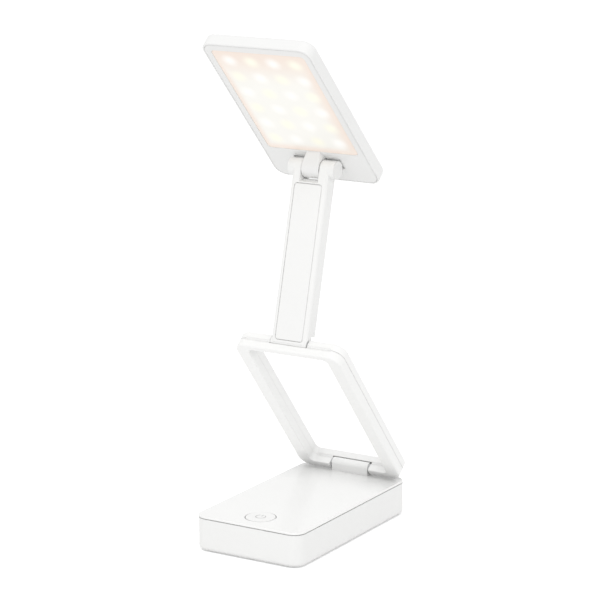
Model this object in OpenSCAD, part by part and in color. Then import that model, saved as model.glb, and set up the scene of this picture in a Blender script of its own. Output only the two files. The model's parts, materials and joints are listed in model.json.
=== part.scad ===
// Folding LED desk lamp: a base, an open ring frame, an arm and a flat LED head, joined by three hinges.
// The origin is at the middle of the base, on the plane its feet stand on. +Z is up and -Y is the front.
// The frame, the arm and the head are each drawn flat, front face down, with the length along -Y,
// and are then turned up to their angle about their hinge.

/* [Whole lamp] */
// Width of the base, the frame and the head
body_w = 80; // [76:1:90]
// Plan radius of the corners of the base, the frame and the head
corner_r = 8.5; // [7:0.5:10]
// Play between parts that slide or turn past each other
play = 0.3; // [0.2:0.05:0.4]
// Length of the closed lamp's base, front to rear
base_l = 140; // [138:1:150]

/* [Pose] */
// Angle of the frame above the horizontal, towards the front
frame_tilt = 50.5; // [45:0.5:60]
// Angle between the frame and the arm
arm_open = 54; // [50:0.5:56]
// Angle that the head leans forward from the arm
head_lean = 58; // [45:1:75]

/* [Base] */
// Height of the base's top above the table
base_h = 24; // [24:0.5:28]
// Wall of the base shell
base_wall = 2; // [1.6:0.1:2.4]
// Fillet along the lower edge of the base shell
base_fillet = 2.5; // [1:0.5:3]
// Thickness of the top cover
cover_t = 1.4; // [1.2:0.1:2]
// Height of the shadow gap between the shell and the cover
reveal_h = 0.5; // [0.3:0.1:0.8]
// Depth of the lip that locates the cover inside the shell
lip_h = 3; // [2:0.5:4]
// Radius of a rubber foot
foot_r = 5.5; // [4:0.5:6]
// How far the feet hold the shell off the table
foot_drop = 0.8; // [0.5:0.1:1.2]
// Distance of a foot from the middle, sideways
foot_x = 29; // [26:1:30]
// Distance of a foot from the middle, lengthwise
foot_y = 46; // [40:1:50]
// Shank radius of the base screws
base_screw_r = 1.25; // [1:0.05:1.5]

/* [Power key] */
// Radius of the round power key
key_r = 9.9; // [8:0.1:11]
// Distance of the key's middle from the base's front end
key_inset = 18; // [16:1:22]
// Travel of the key
key_travel = 0.8; // [0.5:0.1:1]
// How far the key stands above the cover
key_proud = 0.3; // [0:0.1:0.5]

/* [Inside the base] */
// Radius of the battery cell
cell_r = 9.1; // [8:0.1:9.2]
// Length of the battery cell
cell_l = 65; // [50:1:66]
// Width of the control board
board_w = 56; // [50:1:58]
// Length of the control board, front to rear
board_l = 32; // [28:1:33]
// Thickness of the circuit boards
board_t = 1.6; // [1:0.1:2]
// Width of the charging socket's metal shell
socket_w = 9; // [8.5:0.1:9.5]
// Height of the charging socket's metal shell
socket_h = 3.2; // [3:0.1:3.5]

/* [Base hinge] */
// Radius of the base hinge pin
base_pin_r = 1.5; // [1.2:0.05:1.6]
// Height of the base hinge pin above the cover's top
base_pin_rise = 4.7; // [4.7:0.1:5.5]
// Distance of the base hinge pin in front of the base's rear end
base_pin_inset = 5.5; // [5.5:0.25:7]
// Width of the base's hinge lug
lug_w = 28; // [22:1:30]
// Radius of the hinge lug round its pin
lug_r = 3.7; // [3.4:0.1:3.7]
// Gap at each side of the lug, filled by a friction washer
lug_gap = 1.2; // [0.8:0.1:1.5]

/* [Frame] */
// Length of the frame
frame_l = 134.5; // [134.5:0.25:135]
// Thickness of the frame
frame_t = 12; // [12:0.1:12.6]
// Width of the frame's side rails
side_rail = 10; // [9:0.5:11]
// Width of the frame's top rail
top_rail = 4.5; // [4:0.25:5]
// Width of the frame's bottom rail
low_rail = 6; // [5.5:0.25:7]
// Corner radius of the frame's opening
opening_r = 3.5; // [2.5:0.5:6]
// Radius of the soft grooves along the frame's top and bottom rails
scoop_r = 1.4; // [1.2:0.1:1.8]
// Edge rounding of the frame's and the arm's shells
edge_r = 1.6; // [1.6:0.1:2]
// Wall of the hollow side rails
rail_wall = 1.4; // [1:0.1:1.6]
// Distance of the base hinge pin from the frame's lower end
frame_pin_in = 2.9; // [2.8:0.05:3]
// Distance of the base hinge pin behind the frame's front face
frame_pin_v = 4; // [3.9:0.05:4.1]
// Shank radius of the frame, arm and head screws
screw_r = 0.9; // [0.8:0.05:1]

/* [Arm hinge] */
// Radius of the arm hinge pin
arm_pin_r = 1.25; // [1:0.05:1.3]
// Distance of the arm hinge pin from the frame's upper end
arm_pin_in = 2.5; // [2.4:0.05:2.6]
// Distance of the arm hinge pin behind the frame's front face
arm_pin_v = 8.5; // [8.4:0.05:8.6]
// Distance of the arm hinge pin behind the arm's front face
arm_pin_q = 3.5; // [3.4:0.05:3.5]
// Gap at each side of the arm's foot, filled by a friction washer
arm_gap = 0.6; // [0.5:0.05:0.8]

/* [Arm] */
// Width of the arm
arm_w = 27; // [24:0.5:28]
// Thickness of the arm
arm_t = 12; // [12:0.1:12.4]
// Distance between the arm's two hinge pins
arm_reach = 114.6; // [114.6:0.1:115.2]
// Corner radius of the arm's section
arm_edge_r = 2.5; // [2:0.1:3]
// Width of the arm's front cover
trim_w = 20.4; // [18:0.2:20.8]
// Thickness of the arm's front cover
trim_t = 1.8; // [1.5:0.1:2]
// Gap round the arm's front cover
trim_gap = 0.2; // [0.15:0.05:0.4]
// Wall behind the arm's wiring channel
arm_wall = 1.8; // [1.5:0.1:2.2]

/* [Head hinge] */
// Radius of the head hinge pin
head_pin_r = 1.5; // [1.2:0.05:1.8]
// Width over the arm's two hinge ears
ears_w = 34.6; // [32:0.2:36]
// Width of the head's hinge knuckle
knuckle_w = 12.9; // [11:0.1:14]
// Gap at each side of the knuckle, filled by a friction washer
knuckle_gap = 0.5; // [0.4:0.05:0.7]
// Distance of the head hinge pin from the head's lower end
head_pin_in = 20.5; // [20.5:0.25:22]

/* [Head] */
// Length of the head
head_l = 135; // [133:0.25:135]
// Thickness of the head
head_t = 9; // [8.6:0.1:11]
// Thickness of the bezel that is let into the head housing
bezel_t = 2.6; // [2.4:0.1:3]
// Fillet along the head's rear edge
head_fillet = 2.2; // [1:0.1:2.6]
// Wall of the head housing
head_wall = 1.4; // [1.2:0.1:1.8]
// Width of the bezel beside the diffuser
bezel_side = 6; // [5:0.25:7]
// Width of the bezel above the diffuser
bezel_top = 6.7; // [6:0.1:8]
// Distance of the diffuser from the head's lower end
bezel_low = 30; // [29.75:0.25:33]
// Thickness of the LED board
led_board_t = 1.2; // [1:0.1:1.4]
// Spacing of the LEDs across the head
led_pitch_x = 16; // [14:0.5:17]
// Spacing of the LEDs along the head
led_pitch_w = 15.6; // [14:0.2:16]
// Radius of an LED's lens
led_r = 1.5; // [1:0.1:1.8]

/* [Hidden] */
$fn = 64;

// Clearances that the whole lamp shares
past = 1;                // how far a cutter runs past the face it cuts
seat_play = 0.01;        // radial play of a pin or screw in the part that holds it
run_play = 0.05;         // radial play of a pin in the part that turns on it
fit_gap = 0.15;          // gap round a part that is dropped into a recess
groove_d = 0.2;          // depth of the fine parting groove round the frame
groove_h = 0.1;          // half the height of that groove
soft_r = 0.6;            // small rounding of moulded edges
washer_in = 0.5;         // how far a friction washer stays inside the barrel beside it

// Base
shell_floor = foot_drop;
floor_z = shell_floor + base_wall;
cover_z = base_h - cover_t;
shell_top = cover_z - reveal_h;
cavity_w = body_w - 2 * base_wall;
cavity_l = base_l - 2 * base_wall;
cavity_r = corner_r - base_wall;
rest_w = 1;              // width of the ledge that carries the cover
lip_t = 1.2;
screw_in_x = 5.5;        // distance of the base screws from the cavity's sides
screw_in_y = 6.5;        // and from its ends
base_screw_x = cavity_w / 2 - screw_in_x;
base_screw_y = cavity_l / 2 - screw_in_y;
boss_r = 3.4;
boss_top = 9;
post_r = 2.9;
foot_sink = 0.8;
foot_h = foot_drop + foot_sink;
base_head_r = 2.3;
base_head_h = 1.6;
base_head_sink = 1;      // how deep the base screws' heads sit
base_head_z = shell_floor + base_head_sink;
base_screw_l = 12;

// Power key, its switch and the boards
key_y = base_l / 2 - key_inset;
key_gap = 0.4;
flange_w = 1.2;          // how far the key's flange reaches under the cover
flange_r = key_r + key_gap + flange_w;
flange_t = 1;
flange_gap = 0.15;
key_under = cover_z - flange_gap - flange_t;
standoff_h = 7.2;
board_z = floor_z + standoff_h;
board_inset = 4;         // gap between the control board and the front wall
board_mid_y = -(base_l / 2 - base_wall - board_inset - board_l / 2);
board_bite = 4;          // how deep the board screws run into their standoffs
socket_bite = 1.5;       // and the shorter ones of the socket board
board_hole_in = 3.5;
standoff_r = 2.4;
switch_w = 6.2;
switch_h = 3.8;
switch_top = board_z + board_t + switch_h;
plunger_r = 1.7;
plunger_sink = 1;
plunger_rise = 1.8;      // how far the plunger stands out of the switch
plunger_top = switch_top + plunger_rise;
stem_r = 2.2;
board_head_r = 1.7;
board_head_h = 0.9;

// Battery cell, lying across the base
cell_y = 4;
cell_lift = 0.3;
cell_z = floor_z + cell_lift + cell_r;
cradle_x = 22;
cradle_t = 2;
cradle_h = 6;

// Charging socket in the rear wall
socket_l = 7.4;
socket_wall = 0.35;
socket_board_w = 20;
socket_board_l = 13;
socket_lift = 2;         // height of the socket board above the floor
socket_board_z = floor_z + socket_lift;
socket_z = socket_board_z + board_t + socket_h / 2;
mouth_in = 0.4;          // how far the socket's mouth sits inside the rear wall
socket_mouth = base_l / 2 - mouth_in;
socket_board_y = base_l / 2 - base_wall - play - socket_board_l / 2;
tongue_w = 6.6;
tongue_t = 0.7;
tongue_in = 1;           // distance of the contact tongue from the socket's mouth

// Hinge points, worked out from the angles
arm_angle = frame_tilt + arm_open;
head_angle = arm_angle - head_lean;
function along(a) = [-cos(a), sin(a)];
function behind(a) = [sin(a), cos(a)];
base_pin = [base_l / 2 - base_pin_inset, base_h + base_pin_rise];
arm_pin = base_pin + (frame_l - arm_pin_in - frame_pin_in) * along(frame_tilt)
        + (arm_pin_v - frame_pin_v) * behind(frame_tilt);
head_pin = arm_pin + arm_reach * along(arm_angle) + (arm_t / 2 - arm_pin_q) * behind(arm_angle);

// Frame
half_t = frame_t / 2;
opening_w = body_w - 2 * side_rail;
opening_l = frame_l - top_rail - low_rail;
opening_mid = low_rail + opening_l / 2;
lug_notch_w = lug_w + 2 * lug_gap;
lug_seat_r = lug_r + play;
lug_rear = 2.4;
pin_in_cheek = 8;
rail_x = body_w / 2 - side_rail / 2;
cavity_end = 14;
rail_cavity_w = side_rail - 2 * rail_wall;
rail_cavity_l = frame_l - 2 * cavity_end;
rail_screws = [0.06, 0.5, 0.94];   // places of the screws along the rail's hollow
screw_boss_r = 2.1;
boss_merge = 0.5;        // how far a screw boss runs into the rail's inner wall
screw_boss_x = rail_x - rail_cavity_w / 2 + screw_boss_r - boss_merge;
head_r = 1.8;
head_h = 1.1;
pilot_floor = 1.2;
tip_gap = 1;             // room below a screw's tip
wire_r = 0.45;
wire_gap = 0.1;

// Arm
foot_barrel_r = arm_pin_q - 0.1;
foot_seat_r = foot_barrel_r + play;
arm_notch_w = arm_w + 2 * arm_gap;
boss_w = 7;
boss_drop = 2;
arm_pin_bite = 6;        // how deep the arm hinge pin sits in each side
foot_back = 6;           // length of the arm's foot, behind which the full section starts
foot_solid = 6;
ear_r = arm_t / 2;
ear_cap = 1.5;           // closed end of each ear, outside the pin
pin_end = 0.5;           // room at each end of a hinge pin
knuckle_over = 0.6;      // how much larger the knuckle is than the ears
knuckle_r = ear_r + knuckle_over;
notch_w = knuckle_w + 2 * knuckle_gap;
notch_gap = 1.1;         // depth of the notch below the knuckle
notch_low = ear_r + notch_gap;
notch_bevel = 2.7;
notch_bevel_q = 5.8;
trim_low = 1.6;          // distance of the front cover's recess from the lower pin
trim_below = 0.8;          // distance of the front cover's top below the notch
trim_top = arm_reach - notch_low - notch_bevel - trim_below;
trim_r = 2;
trim_edge = 0.5;         // edge rounding of the front cover
seat_w = 1.8;            // width of the ledge that carries the front cover
channel_w = trim_w - 2 * seat_w;
channel_low = 12;
channel_inset = 4;       // distance of the wiring channel below the cover's top
channel_top = trim_top - channel_inset;
arm_screw_in = 9;
arm_screws_s = [channel_low + arm_screw_in, channel_top - arm_screw_in];
arm_boss_r = 2.6;

// Head
pin_drop = arm_t / 2 + play;       // distance of the head hinge pin in front of the LED face
window_w = body_w - 2 * bezel_side;
window_l = head_l - bezel_low - bezel_top;
window_mid = bezel_low + window_l / 2;
window_r = 3;
rebate = 1;
rebate_z = 1;
lens_sink = 0.3;
lens_t = 1.2;
lens_gap = 0.2;
ledge_w = 1;             // width of the ledge that carries the bezel
web_reach = 9.2;
web_top_w = 9.2;
web_low = 4.5;
pocket_d = 1.7;
pocket_low = 6.5;
pocket_top = 3.4;
led_board_w = window_w + 1;
led_board_l = window_l + 1;
led_board_z = 4.2;
led_cols = 4;
led_rows = 6;
led_base = 3.6;
led_base_h = 0.7;
led_dome_h = 0.7;
led_screw_in = 3.2;      // distance of the LED board's screws from its edges
led_screw_x = led_board_w / 2 - led_screw_in;
led_screw_w = led_board_l / 2 - led_screw_in;
led_boss_r = 2.2;

function led_x(c) = (c - (led_cols - 1) / 2) * led_pitch_x;
led_shift = 0.8;         // how far the LEDs sit above the window's middle
function led_w(r) = window_mid + led_shift + (r - (led_rows - 1) / 2) * led_pitch_w;

// Shared shapes

// Turns a flat-drawn part up to its angle about a hinge point
module posed(pin, angle) {
    translate([0, pin[0], pin[1]]) rotate([-angle, 0, 0]) children();
}

// Frame space: y = -(distance from the frame's lower end), z = distance behind its front face
module on_frame() {
    posed(base_pin, frame_tilt) translate([0, frame_pin_in, -frame_pin_v]) children();
}

// Arm space: y = -(distance above the lower pin), z = distance behind the arm's front face
module on_arm() {
    posed(arm_pin, arm_angle) translate([0, 0, -arm_pin_q]) children();
}

// Head space: y = -(distance from the head's lower end), z = distance behind the LED face
module on_head() {
    posed(head_pin, head_angle) translate([0, head_pin_in, pin_drop]) children();
}

// Rectangle with round corners
module round_rect(w, l, r) {
    square([w - 2 * r, l], center = true);
    square([w, l - 2 * r], center = true);
    for (x = [-1, 1], y = [-1, 1])
        translate([x * (w / 2 - r), y * (l / 2 - r)]) circle(r);
}

// Flat plate with round corners and square edges
module plate(w, l, r, z0, z1) {
    translate([0, 0, z0]) linear_extrude(z1 - z0) round_rect(w, l, r);
}

// Sweeps a rim section (x outward from the corner centres, y up) round a rectangle
module rim_sweep(w, l, r) {
    for (q = [0 : 3]) {
        half_w = (q % 2 == 0 ? w : l) / 2 - r;
        half_l = (q % 2 == 0 ? l : w) / 2 - r;
        rotate([0, 0, 90 * q]) translate([half_w, half_l, 0]) {
            rotate_extrude(angle = 90) children();
            rotate([90, 0, 0]) linear_extrude(2 * half_l) children();
        }
    }
}

// Section of a plate's rim, rounded below by low_r and above by top_r
module rim_section(r, z0, z1, low_r, top_r) {
    translate([0, z0 + low_r]) square([r, z1 - z0 - low_r - top_r]);
    if (low_r > 0) {
        translate([0, z0]) square([r - low_r, low_r]);
        translate([r - low_r, z0 + low_r]) intersection() {
            circle(low_r);
            translate([0, -low_r]) square(low_r);
        }
    }
    if (top_r > 0) {
        translate([0, z1 - top_r]) square([r - top_r, top_r]);
        translate([r - top_r, z1 - top_r]) intersection() {
            circle(top_r);
            square(top_r);
        }
    }
}

// Plate with rounded edges all round
module pad(w, l, r, z0, z1, low_r = 0, top_r = 0) {
    translate([r - w / 2, r - l / 2, z0]) cube([w - 2 * r, l - 2 * r, z1 - z0]);
    rim_sweep(w, l, r) rim_section(r, z0, z1, low_r, top_r);
}

// Flare that rounds the edge of a cut-out where it meets a face at height z
module flare(w, l, r, z, e, up = 1) {
    rim_sweep(w, l, r) translate([r, z]) mirror([0, up > 0 ? 0 : 1]) difference() {
        translate([-e / 4, -e / 4]) square([e * 5 / 4, e * 5 / 4]);
        translate([e, e]) circle(e);
    }
}

// Round bar along X from x0 to x1
module x_bar(r, x0, x1) {
    translate([x0, 0, 0]) rotate([0, 90, 0]) cylinder(h = x1 - x0, r = r);
}

// Draws its children on both sides of the middle
module both_sides() {
    children();
    mirror([1, 0, 0]) children();
}

// Cylinder-headed screw, drawn head down: the head starts at z = 0 and the tip points up
module screw(r, len, cap_r, cap_h) {
    cylinder(h = cap_h, r = cap_r);
    cylinder(h = cap_h + len, r = r);
}

// Ring washer along X
module x_washer(r_out, r_in, x0, x1) {
    difference() {
        x_bar(r_out, x0, x1);
        x_bar(r_in, x0 - past, x1 + past);
    }
}

// Base

module at_corners(x, y) {
    for (sx = [-1, 1], sy = [-1, 1]) translate([sx * x, sy * y, 0]) children();
}

module base_shell() {
    color("white") difference() {
        union() {
            difference() {
                union() {
                    pad(body_w, base_l, corner_r, shell_floor, shell_top, low_r = base_fillet);
                    plate(body_w - 2 * rest_w, base_l - 2 * rest_w, corner_r - rest_w,
                          shell_top - past, cover_z);
                }
                plate(cavity_w, cavity_l, cavity_r, floor_z, base_h);
            }
            at_corners(base_screw_x, base_screw_y)
                translate([0, 0, floor_z]) cylinder(h = boss_top - floor_z, r = boss_r);
            translate([0, board_mid_y, 0])
                at_corners(board_w / 2 - board_hole_in, board_l / 2 - board_hole_in)
                translate([0, 0, floor_z]) cylinder(h = board_z - floor_z, r = standoff_r);
            both_sides() translate([socket_board_w / 2 - board_hole_in, socket_board_y, floor_z])
                cylinder(h = socket_board_z - floor_z, r = standoff_r);
            cell_cradle();
        }
        at_corners(base_screw_x, base_screw_y) {
            translate([0, 0, shell_floor - past])
                cylinder(h = base_head_z + base_head_h + seat_play - shell_floor + past,
                         r = base_head_r + fit_gap);
            cylinder(h = boss_top + past, r = base_screw_r + fit_gap);
        }
        at_corners(foot_x, foot_y)
            translate([0, 0, shell_floor - past]) cylinder(h = foot_sink + past, r = foot_r + fit_gap);
        translate([0, board_mid_y, 0])
            at_corners(board_w / 2 - board_hole_in, board_l / 2 - board_hole_in)
            translate([0, 0, floor_z + pilot_floor]) cylinder(h = board_z, r = screw_r + seat_play);
        both_sides() translate([socket_board_w / 2 - board_hole_in, socket_board_y, floor_z])
            cylinder(h = socket_board_z, r = screw_r + seat_play);
        translate([0, base_l / 2 - base_wall - past, socket_z]) rotate([-90, 0, 0])
            linear_extrude(base_wall + 2 * past)
            round_rect(socket_w + 2 * play, socket_h + 2 * play, socket_h / 2 + play - seat_play);
    }
}

// Two saddles that the battery cell lies in
module cell_cradle() {
    difference() {
        both_sides() translate([cradle_x - cradle_t / 2, cell_y - cell_r, floor_z - base_wall / 2])
            cube([cradle_t, 2 * cell_r, cradle_h + base_wall / 2]);
        translate([0, cell_y, cell_z]) x_bar(cell_r + run_play, -cell_l, cell_l);
    }
}

module base_cover() {
    color("white") difference() {
        union() {
            pad(body_w, base_l, corner_r, cover_z, base_h, top_r = soft_r);
            difference() {
                plate(cavity_w - 2 * fit_gap, cavity_l - 2 * fit_gap, cavity_r - fit_gap,
                      cover_z - lip_h, cover_z + soft_r);
                plate(cavity_w - 2 * fit_gap - 2 * lip_t, cavity_l - 2 * fit_gap - 2 * lip_t,
                      cavity_r - fit_gap - lip_t, cover_z - lip_h - past, cover_z);
            }
            at_corners(base_screw_x, base_screw_y)
                translate([0, 0, boss_top + fit_gap]) cylinder(h = cover_z - boss_top, r = post_r);
            hinge_lug();
        }
        at_corners(base_screw_x, base_screw_y)
            cylinder(h = base_head_z + base_screw_l + past, r = base_screw_r + seat_play);
        translate([0, -key_y, cover_z - past]) cylinder(h = cover_t + 2 * past, r = key_r + key_gap);
        translate([0, base_pin[0], base_pin[1]])
            x_bar(base_pin_r + seat_play, -lug_w / 2 - past, lug_w / 2 + past);
    }
}

// Lug that stands on the cover and holds the hinge pin
module hinge_lug() {
    translate([-lug_w / 2, base_pin[0], base_pin[1]]) rotate([90, 0, 90]) linear_extrude(lug_w) {
        circle(lug_r);
        translate([-lug_r, -base_pin_rise - cover_t / 2])
            square([lug_r + lug_rear, base_pin_rise + cover_t / 2]);
    }
}

module base_feet() {
    color("dimgray") at_corners(foot_x, foot_y) cylinder(h = foot_h, r = foot_r);
}

module base_screws() {
    color("silver") at_corners(base_screw_x, base_screw_y)
        translate([0, 0, base_head_z])
            screw(base_screw_r, base_screw_l - base_head_h, base_head_r, base_head_h);
}

module power_key() {
    color("whitesmoke") translate([0, -key_y, 0]) {
        rotate_extrude() rim_section(key_r, key_under, base_h + key_proud, 0, soft_r);
        translate([0, 0, key_under]) cylinder(h = flange_t, r = flange_r);
        translate([0, 0, plunger_top]) cylinder(h = key_under + flange_t - plunger_top, r = stem_r);
    }
}

module switch_plunger() {
    color("black") translate([0, -key_y, switch_top - plunger_sink])
        cylinder(h = plunger_top - switch_top + plunger_sink, r = plunger_r);
}

module switch_body() {
    color("dimgray") difference() {
        translate([-switch_w / 2, -key_y - switch_w / 2, board_z + board_t])
            cube([switch_w, switch_w, switch_h]);
        translate([0, -key_y, switch_top - plunger_sink - key_travel - play])
            cylinder(h = plunger_sink + key_travel + play + past, r = plunger_r + run_play);
    }
}

module control_board() {
    color("seagreen") difference() {
        union() {
            translate([0, board_mid_y, 0]) plate(board_w, board_l, 1, board_z, board_z + board_t);
            board_components();
        }
        translate([0, board_mid_y, board_z - past])
            at_corners(board_w / 2 - board_hole_in, board_l / 2 - board_hole_in)
            cylinder(h = board_t + 2 * past, r = screw_r + fit_gap);
    }
}

// Charging and LED drive parts on the control board: two chips, a coil and two capacitors
module board_components() {
    chip = 5;
    chip_h = 1.5;
    coil_r = 3.2;
    coil_h = 4;
    cap_r = 2;
    cap_h = 5.4;
    top = board_z + board_t - seat_play;
    for (side = [-1, 1])
        translate([side * board_w / 4 - chip / 2, board_mid_y - chip / 2, top]) cube([chip, chip, chip_h]);
    translate([board_w / 4, board_mid_y + 2 * chip, top]) cylinder(h = coil_h, r = coil_r);
    for (i = [0, 1])
        translate([-board_w / 4 - i * 3 * cap_r, board_mid_y + 2 * chip, top])
            cylinder(h = cap_h, r = cap_r);
}

module board_screws() {
    color("silver") {
        translate([0, board_mid_y, board_z + board_t + board_head_h])
            at_corners(board_w / 2 - board_hole_in, board_l / 2 - board_hole_in)
            mirror([0, 0, 1]) screw(screw_r, board_t + board_bite, board_head_r, board_head_h);
        both_sides() translate([socket_board_w / 2 - board_hole_in, socket_board_y,
                                socket_board_z + board_t + board_head_h])
            mirror([0, 0, 1]) screw(screw_r, board_t + socket_bite, board_head_r, board_head_h);
    }
}

module battery_cell() {
    cap_t = 0.8;
    color("steelblue") translate([0, cell_y, cell_z]) {
        x_bar(cell_r, -cell_l / 2, cell_l / 2 - cap_t);
        x_bar(cell_r / 3, cell_l / 2 - cap_t - seat_play, cell_l / 2);
    }
}

module socket_board() {
    color("seagreen") difference() {
        translate([0, socket_board_y, 0])
            plate(socket_board_w, socket_board_l, 1, socket_board_z, socket_board_z + board_t);
        both_sides() translate([socket_board_w / 2 - board_hole_in, socket_board_y, socket_board_z - past])
            cylinder(h = board_t + 2 * past, r = screw_r + fit_gap);
    }
}

module charging_socket() {
    color("silver") translate([0, socket_mouth, socket_z]) rotate([90, 0, 0]) {
        difference() {
            linear_extrude(socket_l) round_rect(socket_w, socket_h, socket_h / 2 - seat_play);
            translate([0, 0, -past]) linear_extrude(socket_l) round_rect(socket_w - 2 * socket_wall,
                socket_h - 2 * socket_wall, socket_h / 2 - socket_wall - seat_play);
        }
        translate([-tongue_w / 2, -tongue_t / 2, tongue_in])
            cube([tongue_w, tongue_t, socket_l - 1.5 * tongue_in]);
    }
}

module base_hinge_pin() {
    color("silver") translate([0, base_pin[0], base_pin[1]])
        x_bar(base_pin_r, -lug_notch_w / 2 - pin_in_cheek + pin_end,
              lug_notch_w / 2 + pin_in_cheek - pin_end);
}

module base_hinge_washers() {
    color("silver") translate([0, base_pin[0], base_pin[1]]) both_sides()
        x_washer(lug_r - washer_in, base_pin_r + run_play, lug_w / 2 + run_play,
                 lug_notch_w / 2 - run_play);
}

// Frame

module at_opening() {
    translate([0, -opening_mid, 0]) children();
}

// Long slot that follows a side rail
module rail_slot(w, l) {
    translate([rail_x, -frame_l / 2]) round_rect(w, l, w / 2 - soft_r);
}

// Soft groove across a rail at distance s from the frame's lower end, cut from the side that points up
module scoop(s, w) {
    translate([0, -s - scoop_r / 2, half_t]) {
        x_bar(scoop_r, -w / 2, w / 2);
        both_sides() translate([w / 2, 0, 0]) sphere(scoop_r);
    }
}

// The soft grooves of the top rail's end and of the bottom rail's inner side
module rail_scoops() {
    scoop(frame_l, body_w - 2 * corner_r);
    scoop(low_rail, opening_w - 2 * opening_r);
}

module at_rail_screws() {
    for (f = rail_screws)
        both_sides() translate([screw_boss_x, -cavity_end - f * rail_cavity_l, 0]) children();
}

module frame_front_shell() {
    color("white") on_frame() difference() {
        union() {
            difference() {
                translate([0, -frame_l / 2, 0]) {
                    pad(body_w, frame_l, corner_r, 0, half_t - groove_h, low_r = edge_r);
                    plate(body_w - 2 * groove_d, frame_l - 2 * groove_d, corner_r - groove_d,
                          half_t - groove_h - past, half_t);
                }
                at_opening() {
                    plate(opening_w, opening_l, opening_r, -past, half_t + past);
                    flare(opening_w, opening_l, opening_r, 0, soft_r);
                }
                both_sides() translate([0, 0, rail_wall]) linear_extrude(half_t)
                    rail_slot(rail_cavity_w, rail_cavity_l);
            }
            at_rail_screws() translate([0, 0, rail_wall / 2])
                cylinder(h = half_t - rail_wall / 2, r = screw_boss_r);
        }
        at_rail_screws() translate([0, 0, pilot_floor]) cylinder(h = half_t, r = screw_r + seat_play);
        translate([-lug_notch_w / 2, -low_rail - past, -past])
            cube([lug_notch_w, low_rail + 2 * past, half_t + 2 * past]);
        at_base_pin() cheek_bores();
        at_arm_pin() x_bar(foot_seat_r, -arm_notch_w / 2, arm_notch_w / 2);
        rail_scoops();
    }
}

module at_base_pin() {
    translate([0, -frame_pin_in, frame_pin_v]) children();
}

module at_arm_pin() {
    translate([0, arm_pin_in - frame_l, arm_pin_v]) children();
}

module cheek_bores() {
    both_sides() x_bar(base_pin_r + run_play, lug_notch_w / 2 - past, lug_notch_w / 2 + pin_in_cheek);
}

module frame_rear_shell() {
    color("white") on_frame() difference() {
        union() {
            difference() {
                translate([0, -frame_l / 2, 0]) {
                    pad(body_w, frame_l, corner_r, half_t + groove_h, frame_t, top_r = edge_r);
                    plate(body_w - 2 * groove_d, frame_l - 2 * groove_d, corner_r - groove_d,
                          half_t, half_t + groove_h + past);
                }
                at_opening() {
                    plate(opening_w, opening_l, opening_r, -past, frame_t + past);
                    flare(opening_w, opening_l, opening_r, frame_t, soft_r, up = -1);
                }
                both_sides() linear_extrude(frame_t - rail_wall) rail_slot(rail_cavity_w, rail_cavity_l);
            }
            at_rail_screws() translate([0, 0, half_t + seat_play])
                cylinder(h = half_t - rail_wall / 2, r = screw_boss_r);
            both_sides() arm_hinge_boss();
        }
        at_rail_screws() {
            cylinder(h = frame_t, r = screw_r + fit_gap);
            translate([0, 0, frame_t - head_h - seat_play])
                cylinder(h = head_h + past, r = head_r + fit_gap);
        }
        translate([-arm_notch_w / 2, -frame_l - past, half_t - past])
            cube([arm_notch_w, top_rail + boss_drop + 2 * past, half_t + 2 * past]);
        at_arm_pin() x_bar(arm_pin_r + seat_play, -arm_notch_w / 2 - arm_pin_bite,
                           arm_notch_w / 2 + arm_pin_bite);
        at_base_pin() x_bar(lug_seat_r, -lug_notch_w / 2, lug_notch_w / 2);
        rail_scoops();
    }
}

// Thickening of the top rail beside the arm, which holds the arm hinge pin
module arm_hinge_boss() {
    low = frame_l - top_rail - boss_drop;
    translate([arm_notch_w / 2 - past, -(low + boss_drop + past), half_t])
        cube([boss_w + past, boss_drop + past, half_t - edge_r]);
}

module frame_screws() {
    color("silver") on_frame() at_rail_screws()
        translate([0, 0, frame_t]) mirror([0, 0, 1])
            screw(screw_r, frame_t - head_h - pilot_floor - tip_gap, head_r, head_h);
}

module wire_pair(x, s0, s1, z) {
    for (i = [0, 1])
        translate([x - i * (2 * wire_r + wire_gap), -s0, z]) rotate([90, 0, 0])
            cylinder(h = s1 - s0, r = wire_r);
}

module frame_wires() {
    color("firebrick") on_frame()
        wire_pair(rail_x + rail_cavity_w / 2 - wire_r - wire_gap,
                  cavity_end + rail_cavity_w, frame_l - cavity_end - rail_cavity_w,
                  rail_wall + wire_r + run_play);
}

module arm_hinge_pin() {
    color("silver") on_frame() at_arm_pin()
        x_bar(arm_pin_r, -arm_notch_w / 2 - arm_pin_bite + pin_end,
              arm_notch_w / 2 + arm_pin_bite - pin_end);
}

module arm_hinge_washers() {
    color("silver") on_frame() at_arm_pin() both_sides()
        x_washer(foot_barrel_r - washer_in, arm_pin_r + run_play, arm_w / 2 + run_play,
                 arm_notch_w / 2 - run_play);
}

// Arm

// Length of the arm's section from s0 to s1, between depths q0 and q1
module arm_stick(s0, s1) {
    translate([0, -s0, arm_t / 2]) rotate([90, 0, 0]) linear_extrude(s1 - s0)
        round_rect(arm_w, arm_t, arm_edge_r);
}

module at_head_pin() {
    translate([0, -arm_reach, arm_t / 2]) children();
}

module at_foot_pin() {
    translate([0, 0, arm_pin_q]) children();
}

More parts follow.
